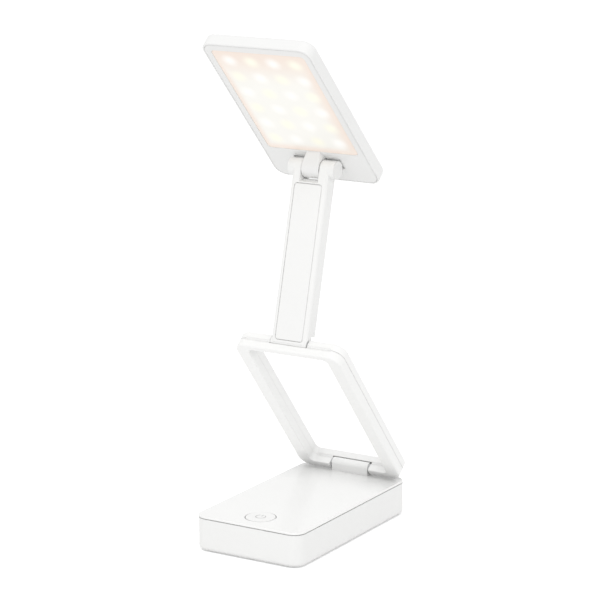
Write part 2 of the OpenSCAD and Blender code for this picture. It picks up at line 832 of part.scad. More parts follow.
module arm_shell() {
    color("white") on_arm() difference() {
        union() {
            arm_stick(foot_back, arm_reach);
            intersection() {
                arm_stick(0, foot_back + past);
                translate([-arm_w, -foot_back - 2 * past, 0])
                    cube([2 * arm_w, foot_back + 3 * past, foot_solid]);
            }
            at_foot_pin() x_bar(foot_barrel_r, -arm_w / 2, arm_w / 2);
            at_head_pin() x_bar(ear_r, -ears_w / 2, ears_w / 2);
        }
        at_foot_pin() x_bar(arm_pin_r + run_play, -arm_w / 2 - past, arm_w / 2 + past);
        at_head_pin() x_bar(head_pin_r + seat_play, -ears_w / 2 + ear_cap, ears_w / 2 - ear_cap);
        knuckle_notch();
        translate([0, -(trim_low + trim_top) / 2, 0]) {
            plate(trim_w + 2 * trim_gap, trim_top - trim_low, trim_r, -past, trim_t);
            flare(trim_w + 2 * trim_gap, trim_top - trim_low, trim_r, 0, soft_r / 2);
        }
        translate([0, -(channel_low + channel_top) / 2, 0]) difference() {
            plate(channel_w, channel_top - channel_low, trim_r, trim_t - past, arm_t - arm_wall);
            for (s = arm_screws_s)
                translate([0, (channel_low + channel_top) / 2 - s, 0]) cylinder(h = arm_t, r = arm_boss_r);
        }
        for (s = arm_screws_s) translate([0, -s, 0]) {
            cylinder(h = arm_t, r = screw_r + fit_gap);
            cylinder(h = arm_t / 2, r = arm_boss_r + fit_gap);
            translate([0, 0, arm_t - head_h - seat_play]) cylinder(h = head_h + past, r = head_r + fit_gap);
        }
    }
}

// Notch between the ears, with a bevel that clears the head's hinge web when the head is folded
module knuckle_notch() {
    bottom = arm_reach - notch_low;
    translate([-notch_w / 2, 0, 0]) rotate([90, 0, 90]) linear_extrude(notch_w)
        polygon([[-arm_reach - arm_t, -past], [-bottom + notch_bevel * (1 + past / notch_bevel_q), -past],
                 [-bottom, notch_bevel_q], [-bottom, arm_t + past], [-arm_reach - arm_t, arm_t + past]]);
}

module arm_front_cover() {
    color("white") on_arm() difference() {
        union() {
            translate([0, -(trim_low + trim_top) / 2, 0])
                pad(trim_w, trim_top - trim_low - 2 * trim_gap, trim_r - trim_gap, 0, trim_t,
                    low_r = trim_edge);
            for (s = arm_screws_s)
                translate([0, -s, trim_t - soft_r])
                    cylinder(h = arm_t / 2 - trim_t + soft_r - seat_play, r = arm_boss_r);
        }
        for (s = arm_screws_s) translate([0, -s, pilot_floor]) cylinder(h = arm_t, r = screw_r + seat_play);
    }
}

module arm_screws() {
    color("silver") on_arm() for (s = arm_screws_s)
        translate([0, -s, arm_t]) mirror([0, 0, 1])
            screw(screw_r, arm_t - head_h - pilot_floor - tip_gap, head_r, head_h);
}

module arm_wires() {
    color("firebrick") on_arm()
        wire_pair(channel_w / 2 - wire_r - wire_gap, channel_low + trim_r, channel_top - trim_r,
                  arm_t - arm_wall - wire_r - run_play);
}

module head_hinge_pin() {
    color("silver") on_arm() at_head_pin()
        x_bar(head_pin_r, -ears_w / 2 + ear_cap + pin_end, ears_w / 2 - ear_cap - pin_end);
}

module head_hinge_washers() {
    color("silver") on_arm() at_head_pin() both_sides()
        x_washer(ear_r - 2 * washer_in, head_pin_r + run_play, knuckle_w / 2 + run_play,
                 notch_w / 2 - run_play);
}

// Head

module at_head_middle() {
    translate([0, -head_l / 2, 0]) children();
}

module at_window() {
    translate([0, -window_mid, 0]) children();
}

// Plate with the head's outline, drawn in by a distance
module head_plate(inset, z0, z1) {
    plate(body_w - 2 * inset, head_l - 2 * inset, corner_r - inset, z0, z1);
}

module head_housing() {
    color("white") on_head() difference() {
        union() {
            at_head_middle() difference() {
                pad(body_w, head_l, corner_r, 0, head_t, low_r = soft_r, top_r = head_fillet);
                head_plate(head_wall, -past, bezel_t);
                head_plate(head_wall + ledge_w, bezel_t - past, head_t - head_wall);
            }
            at_window() at_corners(led_screw_x, led_screw_w)
                translate([0, 0, led_board_z + led_board_t])
                cylinder(h = head_t - head_wall / 2 - led_board_z - led_board_t, r = led_boss_r);
        }
        at_window() at_corners(led_screw_x, led_screw_w)
            cylinder(h = head_t - head_wall / 2, r = screw_r + seat_play);
    }
}

module head_bezel() {
    color("white") on_head() difference() {
        union() {
            at_head_middle() head_plate(head_wall + fit_gap, 0, bezel_t);
            hinge_web();
            at_knuckle() x_bar(knuckle_r, -knuckle_w / 2, knuckle_w / 2);
        }
        at_window() {
            plate(window_w, window_l, window_r, -past, bezel_t + past);
            flare(window_w, window_l, window_r, 0, soft_r / 2);
            plate(window_w + 2 * rebate, window_l + 2 * rebate, window_r + rebate, rebate_z,
                  bezel_t + past);
        }
        both_sides() translate([knuckle_w / 2, -head_pin_in - pocket_top, -past])
            cube([(ears_w - knuckle_w) / 2 + play, pocket_top + pocket_low, pocket_d + past]);
        at_knuckle() x_bar(head_pin_r + run_play, -knuckle_w / 2 - past, knuckle_w / 2 + past);
    }
}

module at_knuckle() {
    translate([0, -head_pin_in, -pin_drop]) children();
}

// Web from the bezel down to the knuckle: it runs tangent to the knuckle and narrows to its top
module hinge_web() {
    root = soft_r;
    lean = atan2(pin_drop, web_reach) - acos(knuckle_r / norm([web_reach, pin_drop]));
    intersection() {
        translate([-knuckle_w / 2, -head_pin_in, -pin_drop]) rotate([90, 0, 90]) linear_extrude(knuckle_w)
            polygon([[web_low, pin_drop + root], [web_low, 0], [0, 0],
                     [-knuckle_r * cos(lean), knuckle_r * sin(lean)],
                     [-web_reach, pin_drop], [-web_reach, pin_drop + root]]);
        translate([0, -head_pin_in, -pin_drop - knuckle_r - past])
            linear_extrude(pin_drop + knuckle_r + 2 * past)
            polygon([[-knuckle_w / 2, web_low + past], [knuckle_w / 2, web_low + past],
                     [knuckle_w / 2, -knuckle_r * cos(lean)], [web_top_w / 2, -web_reach - past],
                     [-web_top_w / 2, -web_reach - past], [-knuckle_w / 2, -knuckle_r * cos(lean)]]);
    }
}

module diffuser() {
    color("antiquewhite", 0.8) on_head() at_window() {
        plate(window_w + 2 * rebate - 2 * lens_gap, window_l + 2 * rebate - 2 * lens_gap,
              window_r + rebate - lens_gap, rebate_z, rebate_z + lens_t);
        plate(window_w - 2 * lens_gap, window_l - 2 * lens_gap, window_r - lens_gap, lens_sink,
              rebate_z + lens_t / 2);
    }
}

module led_board() {
    color("whitesmoke") on_head() at_window() difference() {
        plate(led_board_w, led_board_l, window_r, led_board_z, led_board_z + led_board_t);
        at_corners(led_screw_x, led_screw_w)
            translate([0, 0, led_board_z - past])
                cylinder(h = led_board_t + 2 * past, r = screw_r + fit_gap);
    }
}

// One LED: a square package with a domed lens
module led() {
    dome = (led_r * led_r + led_dome_h * led_dome_h) / (2 * led_dome_h);
    translate([-led_base / 2, -led_base / 2, led_board_z - led_base_h])
        cube([led_base, led_base, led_base_h]);
    intersection() {
        translate([0, 0, led_board_z - led_base_h - led_dome_h + dome]) sphere(dome);
        translate([0, 0, led_board_z - led_base_h - led_dome_h])
            cylinder(h = led_dome_h + seat_play, r = led_r);
    }
}

// LEDs of one tone: odd or even places of a chequerboard
module leds(tone) {
    on_head() for (c = [0 : led_cols - 1], r = [0 : led_rows - 1])
        if ((c + r) % 2 == tone) translate([led_x(c), -led_w(r), 0]) led();
}

module cool_leds() {
    color("aliceblue") leds(1);
}

module warm_leds() {
    color("moccasin") leds(0);
}

module led_screws() {
    cap_h = 0.8;
    bite = 2.2;
    color("silver") on_head() at_window() at_corners(led_screw_x, led_screw_w)
        translate([0, 0, led_board_z - cap_h]) screw(screw_r, led_board_t + bite, head_r, cap_h);
}

// Assembly

base_shell();
base_cover();
base_feet();
base_screws();
power_key();
switch_plunger();
switch_body();
control_board();
board_screws();
battery_cell();
socket_board();
charging_socket();
base_hinge_pin();
base_hinge_washers();
frame_front_shell();
frame_rear_shell();
frame_screws();
frame_wires();
arm_hinge_pin();
arm_hinge_washers();
arm_shell();
arm_front_cover();
arm_screws();
arm_wires();
head_hinge_pin();
head_hinge_washers();
head_housing();
head_bezel();
diffuser();
led_board();
cool_leds();
warm_leds();
led_screws();
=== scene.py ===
import json
import math

import bmesh
import bpy
from mathutils import Matrix, Vector


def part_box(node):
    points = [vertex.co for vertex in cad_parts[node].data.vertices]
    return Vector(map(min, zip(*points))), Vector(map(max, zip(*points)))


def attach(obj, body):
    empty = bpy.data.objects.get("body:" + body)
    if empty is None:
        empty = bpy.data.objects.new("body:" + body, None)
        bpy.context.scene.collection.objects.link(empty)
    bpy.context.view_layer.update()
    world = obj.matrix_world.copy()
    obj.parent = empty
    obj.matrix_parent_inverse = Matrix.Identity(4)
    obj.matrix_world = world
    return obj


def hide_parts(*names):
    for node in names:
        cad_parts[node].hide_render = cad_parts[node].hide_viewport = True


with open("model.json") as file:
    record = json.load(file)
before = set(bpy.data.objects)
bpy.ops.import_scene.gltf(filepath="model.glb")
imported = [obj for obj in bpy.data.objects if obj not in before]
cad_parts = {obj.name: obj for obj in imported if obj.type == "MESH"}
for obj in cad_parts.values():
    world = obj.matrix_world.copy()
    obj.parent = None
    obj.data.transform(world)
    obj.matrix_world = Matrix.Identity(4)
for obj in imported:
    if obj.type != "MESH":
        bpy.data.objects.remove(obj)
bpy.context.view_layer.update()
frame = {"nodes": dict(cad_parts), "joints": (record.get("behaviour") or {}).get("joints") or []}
cad = frame["nodes"]
mm = 0.001
print("frame in:", len(cad), "solids")


# sRGB hex to the linear colour that the nodes take
def fromHex(text):
    parts = [int(text[i:i + 2], 16) / 255 for i in (1, 3, 5)]
    return [c / 12.92 if c <= 0.04045 else ((c + 0.055) / 1.055) ** 2.4 for c in parts] + [1.0]


# adds a node, sets it up and links or fills its inputs
def addNode(tree, kind, inputs=None, **settings):
    node = tree.nodes.new(kind)
    for name, value in settings.items():
        setattr(node, name, value)
    for name, value in (inputs or {}).items():
        if isinstance(value, bpy.types.NodeSocket):
            tree.links.new(value, node.inputs[name])
        else:
            node.inputs[name].default_value = value
    return node


# an empty material, its tree and the socket that gives a place on the piece in metres
def startMaterial(name):
    mat = bpy.data.materials.new(name)
    mat.use_nodes = True
    tree = mat.node_tree
    tree.nodes.clear()
    return mat, tree, addNode(tree, "ShaderNodeTexCoord").outputs["Object"]


def closeMaterial(tree, shader):
    addNode(tree, "ShaderNodeOutputMaterial", {"Surface": shader.outputs[0]})


def addPiece(name, mesh, mat, body):
    mesh.materials.clear()
    mesh.materials.append(mat)
    piece = bpy.data.objects.new(name, mesh)
    bpy.context.scene.collection.objects.link(piece)
    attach(piece, body)
    return piece


# each panel is laid out flat, front face down, and turned up about its hinge
stance = {   # degrees above the table; mm from the panel's lower end and behind its front face
    "frame": {"hinge": "base_fold", "tilt": 50.5, "pin": (2.9, 4.0)},
    "arm": {"hinge": "arm_fold", "tilt": 104.5, "pin": (0.0, 3.5)},
    "head": {"hinge": "head_fold", "tilt": 46.5, "pin": (20.5, -6.3)},
}
hinges = {j["name"]: Vector(j["pos_m"]) for j in frame["joints"] if "pos_m" in j}


# from a flat panel's own axes to its stance in the lamp
def panelMatrix(panel):
    up, back = panel["pin"]
    shift = Matrix.Translation((0, up * mm, -back * mm))
    turn = Matrix.Rotation(math.radians(-panel["tilt"]), 4, "X")
    return Matrix.Translation(hinges[panel["hinge"]]) @ turn @ shift


onFrame = panelMatrix(stance["frame"])
onArm = panelMatrix(stance["arm"])
onHead = panelMatrix(stance["head"])


# ABS, injection moulded: a neutral white with a fine sparked skin, which gives soft wide
# highlights; edges are a touch shinier from handling, and closed-in corners get painted shade
housingLook = {
    "colour": "#F1F1F0",
    "paintedShade": 0.85,          # share of the colour left by the painted shade where the part is closed in all round
    "paintedShadeReachMm": 4,
    "paintedShadeRays": 8,
    "roughness": 0.33,
    "roughSwing": 0.05,
    "skinMm": 0.55,        # real grain is about 0.05 mm, drawn coarser so that it shows
    "skinDepthMm": 0.004,
    "skinStrength": 0.6,
    "mottleMm": 38,        # flow marks left by the melt
    "mottleTint": (0.985, 1.01),
    "rubMm": (0.6, 26),    # width and length of the hairline rubs left by a cloth
    "rubTurn": (0.5, 0.3, 0.6),
    "rubFrom": (0.62, 0.8),   # noise levels where a rub starts and is full
    "rubRough": 0.05,
    "bevelMm": 0.5,
    "bevelRays": 4,
    "edgePolish": (0.8, 0.75),   # facing at which an edge is fully polished, its roughness share
    "ior": 1.53,
}
# the same plastic from a polished tool: clearer reflections on the base's top
polish = {"roughSwing": 0.03, "skinMm": 1.4}
# the cover's colour is painted lighter, a lit copy of the housing white, and its wide painted shade
# darkens it near the frame and hinge
coverLook = dict(housingLook, colour="#F9F9F8", roughness=0.18, skinDepthMm=0.0012,
                 paintedShade=0.6, paintedShadeReachMm=26, **polish)
keyLook = dict(housingLook, colour="#F7F7F6", roughness=0.22, skinDepthMm=0.001, **polish)
# other mouldings in the same white: the frame's colour is painted lighter and the bezel's painted
# darker, for how light falls on them; the frame's painted shade reaches further and the arm has
# none
frameLook = dict(housingLook, colour="#F8F8F7", paintedShade=0.72, paintedShadeReachMm=14)
armLook = dict(housingLook, colour="#F2F2F1", paintedShade=1.0)
bezelLook = dict(housingLook, colour="#EEEEED", paintedShade=0.95)


def mouldedAbs(name, look):
    mat, tree, place = startMaterial(name)
    mottle = addNode(tree, "ShaderNodeTexNoise", {
        "Vector": place, "Scale": 1 / (look["mottleMm"] * mm), "Detail": 3.0,
        "Roughness": 0.55}).outputs["Fac"]
    skin = addNode(tree, "ShaderNodeTexNoise", {
        "Vector": place, "Scale": 1 / (look["skinMm"] * mm), "Detail": 2.0}).outputs["Fac"]
    thin, long = (1 / (size * mm) for size in look["rubMm"])
    wiped = addNode(tree, "ShaderNodeMapping", {
        "Vector": place, "Rotation": look["rubTurn"],
        "Scale": (thin, long, thin)}).outputs["Vector"]
    rubs = addNode(tree, "ShaderNodeTexNoise", {
        "Vector": wiped, "Scale": 1.0, "Detail": 1.0}).outputs["Fac"]
    rubs = addNode(tree, "ShaderNodeMapRange", {
        "Value": rubs, "From Min": look["rubFrom"][0], "From Max": look["rubFrom"][1],
        "To Max": look["rubRough"]}).outputs["Result"]
    tint = addNode(tree, "ShaderNodeMapRange", {
        "Value": mottle, "To Min": look["mottleTint"][0],
        "To Max": look["mottleTint"][1]}).outputs["Result"]
    # painted shade: the colour is darkened where ambient occlusion finds the part closed in
    paintedShade = addNode(tree, "ShaderNodeAmbientOcclusion", {"Distance": look["paintedShadeReachMm"] * mm},
                   samples=look["paintedShadeRays"]).outputs["AO"]
    paintedShade = addNode(tree, "ShaderNodeMapRange", {
        "Value": paintedShade, "To Min": look["paintedShade"]}).outputs["Result"]
    # painted shade times the random mottle tint
    paintedShadeAndMottle = addNode(tree, "ShaderNodeMath", {0: paintedShade, 1: tint}, operation="MULTIPLY").outputs[0]
    colour = addNode(tree, "ShaderNodeVectorMath", {
        0: fromHex(look["colour"])[:3], "Scale": paintedShadeAndMottle}, operation="SCALE").outputs["Vector"]
    edge = addNode(tree, "ShaderNodeBevel", {"Radius": look["bevelMm"] * mm},
                   samples=look["bevelRays"]).outputs["Normal"]
    flat = addNode(tree, "ShaderNodeNewGeometry").outputs["Normal"]
    facing = addNode(tree, "ShaderNodeVectorMath", {0: edge, 1: flat},
                     operation="DOT_PRODUCT").outputs["Value"]
    worn = addNode(tree, "ShaderNodeMapRange", {
        "Value": facing, "From Min": look["edgePolish"][0],
        "To Min": look["edgePolish"][1]}).outputs["Result"]
    rough = addNode(tree, "ShaderNodeMapRange", {
        "Value": mottle, "To Min": look["roughness"] - look["roughSwing"],
        "To Max": look["roughness"] + look["roughSwing"]}).outputs["Result"]
    rough = addNode(tree, "ShaderNodeMath", {0: rough, 1: worn, 2: rubs},
                    operation="MULTIPLY_ADD").outputs[0]
    bump = addNode(tree, "ShaderNodeBump", {
        "Height": skin, "Strength": look["skinStrength"], "Distance": look["skinDepthMm"] * mm,
        "Normal": edge}).outputs["Normal"]
    closeMaterial(tree, addNode(tree, "ShaderNodeBsdfPrincipled", {
        "Base Color": colour, "Roughness": rough, "IOR": look["ior"], "Normal": bump}))
    return mat


housingAbs = mouldedAbs("mouldedWhiteAbs", housingLook)
coverAbs = mouldedAbs("polishedWhiteAbs", coverLook)
frameAbs = mouldedAbs("frameWhiteAbs", frameLook)
armAbs = mouldedAbs("armWhiteAbs", armLook)
bezelAbs = mouldedAbs("bezelWhiteAbs", bezelLook)
keyAbs = mouldedAbs("keyWhiteAbs", keyLook)
print("housing plastics ready")


# acrylic, cast opal sheet: milky and lit from behind, so each LED shows as a soft spot, cool
# and warm by turns, and the light falls off to a warm rim
windowLook = {
    "sheet": "#C5C2BD",
    "glow": {   # colour and strength of the light that comes through
        "rim": ("#FFDDC7", 0.355),
        "middle": ("#FEFFFA", 0.39),
        "coolSpot": ("#FFFFFF", 0.462),
        "warmSpot": ("#FFFFE2", 0.447),
    },
    "spotMm": (0.0, 7.6),      # full brightness out to the first, none past the second
    "rimMm": {"left": 6.0, "right": 13.0, "near": 8.0, "far": 34.0},
    "rimBlend": 0.3,           # how softly the rims of two sides join in a corner
    "pitchMm": (16.0, 15.6),
    "firstRowMm": 40.95,
    "windowMm": (68.0, 98.3, 79.15),   # width, length, its middle's distance from the lower end
    "roughness": 0.22,
    "roughSwing": 0.04,
    "grainMm": 0.8,
    "grainDepthMm": 0.002,
    "grainStrength": 0.4,
    "hazeMm": 17,
    "hazeSwing": 0.05,
    "ior": 1.49,
}


def opalWindow(name, look):
    mat, tree, place = startMaterial(name)
    back = onHead.inverted()
    laidFlat = addNode(tree, "ShaderNodeMapping", {
        "Vector": place, "Location": back.to_translation(), "Rotation": back.to_euler()})
    flatMm = addNode(tree, "ShaderNodeVectorMath", {
        0: laidFlat.outputs["Vector"], "Scale": 1 / mm}, operation="SCALE").outputs["Vector"]
    split = addNode(tree, "ShaderNodeSeparateXYZ", {"Vector": flatMm})
    across = split.outputs["X"]
    along = addNode(tree, "ShaderNodeMath", {0: split.outputs["Y"], 1: -1.0},
                    operation="MULTIPLY").outputs[0]
    # the nearest LED: its column and row, and how far away it is
    steps = []
    offs = []
    for value, pitch, start in ((across, look["pitchMm"][0], look["pitchMm"][0] / 2),
                                (along, look["pitchMm"][1], look["firstRowMm"])):
        cell = addNode(tree, "ShaderNodeMath", {0: value, 1: start},
                       operation="SUBTRACT").outputs[0]
        cell = addNode(tree, "ShaderNodeMath", {0: cell, 1: pitch}, operation="DIVIDE").outputs[0]
        near = addNode(tree, "ShaderNodeMath", {0: cell}, operation="ROUND").outputs[0]
        off = addNode(tree, "ShaderNodeMath", {0: cell, 1: near}, operation="SUBTRACT").outputs[0]
        off = addNode(tree, "ShaderNodeMath", {0: off, 1: pitch}, operation="MULTIPLY").outputs[0]
        steps.append(near)
        offs.append(off)
    offVector = addNode(tree, "ShaderNodeCombineXYZ", {"X": offs[0], "Y": offs[1]}).outputs[0]
    distance = addNode(tree, "ShaderNodeVectorMath", {0: offVector},
                       operation="LENGTH").outputs["Value"]
    spot = addNode(tree, "ShaderNodeMapRange", {
        "Value": distance, "From Min": look["spotMm"][0], "From Max": look["spotMm"][1],
        "To Min": 1.0, "To Max": 0.0}, interpolation_type="SMOOTHSTEP").outputs["Result"]
    total = addNode(tree, "ShaderNodeMath", {0: steps[0], 1: steps[1]}, operation="ADD").outputs[0]
    turn = addNode(tree, "ShaderNodeMath", {0: total, 1: 2.0},
                   operation="FLOORED_MODULO").outputs[0]
    # how deep inside the window, from 0 at its edge to 1 past the rim
    width, length, middle = look["windowMm"]
    depth = 1.0
    for value, way, side, edge in ((across, 1, "left", width / 2),
                                   (across, -1, "right", width / 2),
                                   (along, 1, "near", length / 2 - middle),
                                   (along, -1, "far", length / 2 + middle)):
        reach = look["rimMm"][side]
        inside = addNode(tree, "ShaderNodeMath", {0: value, 1: way / reach, 2: edge / reach},
                         operation="MULTIPLY_ADD").outputs[0]
        depth = addNode(tree, "ShaderNodeMath", {0: depth, 1: inside, 2: look["rimBlend"]},
                        operation="SMOOTH_MIN").outputs[0]
    depth = addNode(tree, "ShaderNodeMapRange", {"Value": depth},
                    interpolation_type="SMOOTHSTEP").outputs["Result"]
    glow = {part: [c * strength for c in fromHex(colour)[:3]] + [1.0]
            for part, (colour, strength) in look["glow"].items()}
    # sockets 6 and 7 are the two colours of a colour Mix node, output 2 is its result
    field = addNode(tree, "ShaderNodeMix", {0: depth, 6: glow["rim"], 7: glow["middle"]},
                    data_type="RGBA").outputs[2]
    tone = addNode(tree, "ShaderNodeMix", {0: turn, 6: glow["warmSpot"], 7: glow["coolSpot"]},
                   data_type="RGBA").outputs[2]
    lit = addNode(tree, "ShaderNodeMix", {0: spot, 6: field, 7: tone}, data_type="RGBA").outputs[2]
    haze = addNode(tree, "ShaderNodeTexNoise", {
        "Vector": flatMm, "Scale": 1 / look["hazeMm"], "Detail": 2.0}).outputs["Fac"]
    haze = addNode(tree, "ShaderNodeMapRange", {
        "Value": haze, "To Min": 1 - look["hazeSwing"],
        "To Max": 1 + look["hazeSwing"]}).outputs["Result"]
    grain = addNode(tree, "ShaderNodeTexNoise", {
        "Vector": flatMm, "Scale": 1 / look["grainMm"], "Detail": 1.0}).outputs["Fac"]
    bump = addNode(tree, "ShaderNodeBump", {
        "Height": grain, "Strength": look["grainStrength"],
        "Distance": look["grainDepthMm"] * mm}).outputs["Normal"]
    rough = addNode(tree, "ShaderNodeMapRange", {
        "Value": grain, "To Min": look["roughness"] - look["roughSwing"],
        "To Max": look["roughness"] + look["roughSwing"]}).outputs["Result"]
    closeMaterial(tree, addNode(tree, "ShaderNodeBsdfPrincipled", {
        "Base Color": fromHex(look["sheet"]), "Roughness": rough, "IOR": look["ior"],
        "Normal": bump, "Emission Color": lit, "Emission Strength": haze}))
    return mat


windowAcrylic = opalWindow("opalAcrylicWindow", windowLook)
print("window ready")


smallLooks = {
    # zinc plated steel, turned: a soft grey-white metal with fine lathe rings
    "turnedZincSteel": {"colour": "#C6C7C8", "metallic": 1.0, "roughness": 0.3, "swing": 0.1,
                        "grainMm": 0.3, "depthMm": 0.006},
    # nickel plated shell, stamped: brighter and smoother than zinc
    "stampedNickel": {"colour": "#CFCBC2", "metallic": 1.0, "roughness": 0.2, "swing": 0.06,
                      "grainMm": 0.8, "depthMm": 0.003},
    # silicone rubber, moulded: grey, matt, slightly pitted
    "mouldedSilicone": {"colour": "#B4B6B7", "metallic": 0.0, "roughness": 0.72, "swing": 0.08,
                        "grainMm": 0.6, "depthMm": 0.03},
    # glass-filled nylon, moulded: black and matt
    "mouldedBlackNylon": {"colour": "#1B1B1C", "metallic": 0.0, "roughness": 0.5, "swing": 0.08,
                          "grainMm": 0.3, "depthMm": 0.01},
    # shrink film over a steel can, printed blue, satin
    "blueShrinkFilm": {"colour": "#2F62A0", "metallic": 0.0, "roughness": 0.32, "swing": 0.1,
                       "grainMm": 5.0, "depthMm": 0.04},
    # PVC insulation, extruded: red and slightly waxy
    "extrudedRedPvc": {"colour": "#A3221D", "metallic": 0.0, "roughness": 0.42, "swing": 0.06,
                       "grainMm": 1.2, "depthMm": 0.01},
    # ink, pad printed: a thin grey film, a little uneven where the pad lifted
    "greyPadPrint": {"colour": "#A6A6A6", "metallic": 0.0, "roughness": 0.4, "swing": 0.05,
                     "grainMm": 0.25, "depthMm": 0.001},
}
smallTint = (0.9, 1.08)   # shares of the colour between which the grain moves it
smallStrength = 0.7


def smallPart(name, look):
    mat, tree, place = startMaterial(name)
    grain = addNode(tree, "ShaderNodeTexNoise", {
        "Vector": place, "Scale": 1 / (look["grainMm"] * mm), "Detail": 4.0}).outputs["Fac"]
    tint = addNode(tree, "ShaderNodeMapRange", {
        "Value": grain, "To Min": smallTint[0], "To Max": smallTint[1]}).outputs["Result"]
    colour = addNode(tree, "ShaderNodeVectorMath", {
        0: fromHex(look["colour"])[:3], "Scale": tint}, operation="SCALE").outputs["Vector"]
    rough = addNode(tree, "ShaderNodeMapRange", {
        "Value": grain, "To Min": look["roughness"] - look["swing"],
        "To Max": look["roughness"] + look["swing"]}).outputs["Result"]
    bump = addNode(tree, "ShaderNodeBump", {
        "Height": grain, "Strength": smallStrength,
        "Distance": look["depthMm"] * mm}).outputs["Normal"]
    closeMaterial(tree, addNode(tree, "ShaderNodeBsdfPrincipled", {
        "Base Color": colour, "Metallic": look["metallic"], "Roughness": rough, "Normal": bump}))
    return mat


small = {name: smallPart(name, look) for name, look in smallLooks.items()}


# solder mask over copper, screened: a flat lacquer with raised tracks under it
boardLooks = {
    "greenSolderMask": {"mask": "#1E5B36", "track": "#2C7A49", "trackMm": 1.6},
    "whiteSolderMask": {"mask": "#ECEAE2", "track": "#DAD7CC", "trackMm": 7.8},
}
trackShape = {"gap": 0.06, "length": 2.5, "width": 0.6}   # in tracks
maskFinish = {"roughness": 0.35, "strength": 0.5, "depthMm": 0.03}


def solderMask(name, look):
    mat, tree, place = startMaterial(name)
    tracks = addNode(tree, "ShaderNodeTexBrick", {
        "Vector": place, "Color1": fromHex(look["track"]), "Color2": fromHex(look["track"]),
        "Mortar": fromHex(look["mask"]), "Scale": 1 / (look["trackMm"] * mm),
        "Mortar Size": trackShape["gap"], "Brick Width": trackShape["length"],
        "Row Height": trackShape["width"]})
    bump = addNode(tree, "ShaderNodeBump", {
        "Height": tracks.outputs["Fac"], "Strength": maskFinish["strength"],
        "Distance": maskFinish["depthMm"] * mm}, invert=True).outputs["Normal"]
    closeMaterial(tree, addNode(tree, "ShaderNodeBsdfPrincipled", {
        "Base Color": tracks.outputs["Color"], "Roughness": maskFinish["roughness"],
        "Normal": bump}))
    return mat


boards = {name: solderMask(name, look) for name, look in boardLooks.items()}


# LED packages, cast: a clear silicone dome over phosphor, which gives each its own tone
ledLooks = {
    "coolPhosphor": {"colour": "#F2F4E6", "glow": "#F4F8FF"},
    "warmPhosphor": {"colour": "#F3DE9B", "glow": "#FFD9A0"},
}
ledFinish = {"grainMm": 0.2, "roughness": (0.2, 0.4), "strength": 2.0}


def ledDome(name, look):
    mat, tree, place = startMaterial(name)
    grain = addNode(tree, "ShaderNodeTexNoise", {
        "Vector": place, "Scale": 1 / (ledFinish["grainMm"] * mm)}).outputs["Fac"]
    smooth, dull = ledFinish["roughness"]
    rough = addNode(tree, "ShaderNodeMapRange", {
        "Value": grain, "To Min": smooth, "To Max": dull}).outputs["Result"]
    closeMaterial(tree, addNode(tree, "ShaderNodeBsdfPrincipled", {
        "Base Color": fromHex(look["colour"]), "Roughness": rough,
        "Emission Color": fromHex(look["glow"]), "Emission Strength": ledFinish["strength"]}))
    return mat


leds = {name: ledDome(name, look) for name, look in ledLooks.items()}

# all nodes that aren't named here are pins, washers and screws
finishes = {
    "base_shell": housingAbs, "base_cover": coverAbs, "power_key": keyAbs,
    "frame_front_shell": frameAbs, "frame_rear_shell": frameAbs,
    "arm_shell": armAbs, "arm_front_cover": armAbs,
    "head_housing": housingAbs, "head_bezel": bezelAbs, "diffuser": windowAcrylic,
    "base_feet": small["mouldedSilicone"], "battery_cell": small["blueShrinkFilm"],
    "switch_body": small["mouldedBlackNylon"], "switch_plunger": small["mouldedBlackNylon"],
    "charging_socket": small["stampedNickel"],
    "frame_wires": small["extrudedRedPvc"], "arm_wires": small["extrudedRedPvc"],
    "control_board": boards["greenSolderMask"], "socket_board": boards["greenSolderMask"],
    "led_board": boards["whiteSolderMask"],
    "cool_leds": leds["coolPhosphor"], "warm_leds": leds["warmPhosphor"],
}
for name, node in cad.items():
    for slot in node.material_slots:
        slot.material = finishes.get(name, small["turnedZincSteel"])
print("finishes on all solids")


# generic power sign on the key: a ring with a stroke through its gap
signLook = {"ringMm": 3.2, "lineMm": 0.55, "gapDegrees": 62, "strokeMm": (0.8, 3.9),
            "inkMm": 0.02, "steps": 48}


def addSign(look):
    low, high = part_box("power_key")
    centre = Vector(((low.x + high.x) / 2, (low.y + high.y) / 2, high.z))
    half = look["lineMm"] / 2
    start = math.radians(90 + look["gapDegrees"] / 2)
    sweep = math.radians(360 - look["gapDegrees"])
    near, far = look["strokeMm"]
    angles = [start + sweep * i / look["steps"] for i in range(look["steps"] + 1)]
    ring = [(r * math.cos(a), r * math.sin(a)) for a in angles
            for r in (look["ringMm"] - half, look["ringMm"] + half)]
    stroke = [(-half, near), (half, near), (-half, far), (half, far)]
    bm = bmesh.new()
    for line in (ring, stroke):
        # each place has a lower and an upper point, and places come in pairs along the line
        rows = [[bm.verts.new(centre + Vector((x, y, z)) * mm) for z in (0.0, look["inkMm"])]
                for x, y in line]
        for i in range(0, len(rows) - 2, 2):
            (a, up), (b, vp), (c, wp), (d, xp) = rows[i:i + 4]
            for corners in ((a, b, d, c), (up, vp, xp, wp), (a, c, wp, up), (b, d, xp, vp)):
                bm.faces.new(corners)
        for a, b in (rows[:2], rows[-2:]):
            bm.faces.new((a[0], b[0], b[1], a[1]))
    bmesh.ops.recalc_face_normals(bm, faces=bm.faces)
    mesh = bpy.data.meshes.new("keySign")
    bm.to_mesh(mesh)
    bm.free()
    return addPiece("keySign", mesh, small["greyPadPrint"], "key")


addSign(signLook)
print("key sign printed")


